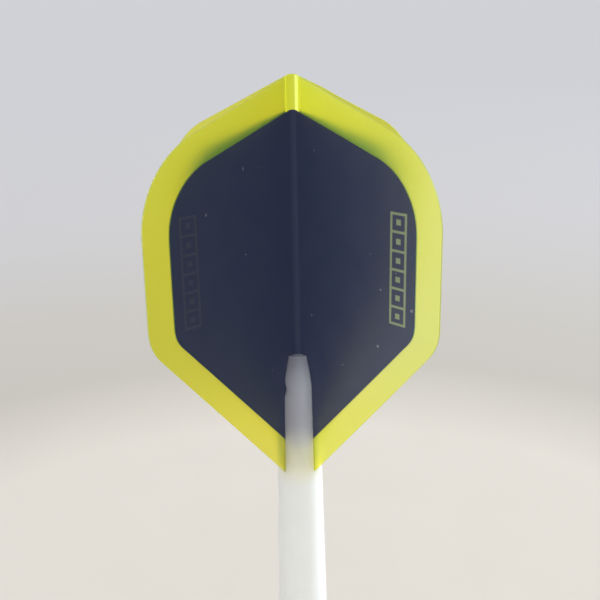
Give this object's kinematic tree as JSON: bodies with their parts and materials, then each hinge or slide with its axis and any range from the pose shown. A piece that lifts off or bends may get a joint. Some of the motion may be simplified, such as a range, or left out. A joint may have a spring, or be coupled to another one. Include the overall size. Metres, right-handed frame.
{
  "type": "dart flight and stem",
  "caption": "Dart flight of crossed film wings pushed into the slotted tail of a tapered plastic stem, with a shoulder and male thread for a dart barrel.",
  "frame": {"origin": "centre of the stem's shoulder plane, the annular face that seats on the back of a dart barrel", "axes": "+Z along the dart's axis from the barrel towards the tail of the flight; the wings stand on the four diagonals between X and Y, and -Y faces out of the front valley between two wings"},
  "size_m": [0.027, 0.027, 0.084],
  "materials": {
    "stem_plastic": "satin white moulded nylon",
    "wing_film": "translucent neon yellow polyester film, gloss",
    "wing_print": "dark blue-black printed ink, semi-gloss"
  },
  "bodies": {
    "stem": {"stem": "stem_plastic"},
    "flight": {"film_front": "wing_film", "film_right": "wing_film", "film_back": "wing_film", "film_left": "wing_film", "print_front": "wing_print", "print_right": "wing_print", "print_back": "wing_print", "print_left": "wing_print"}
  },
  "joints": [
    {"name": "flight_pull", "type": "slide", "parent": "stem", "child": "flight", "axis": [0, 0, 1], "range_m": [0, 0.0165]}
  ]
}
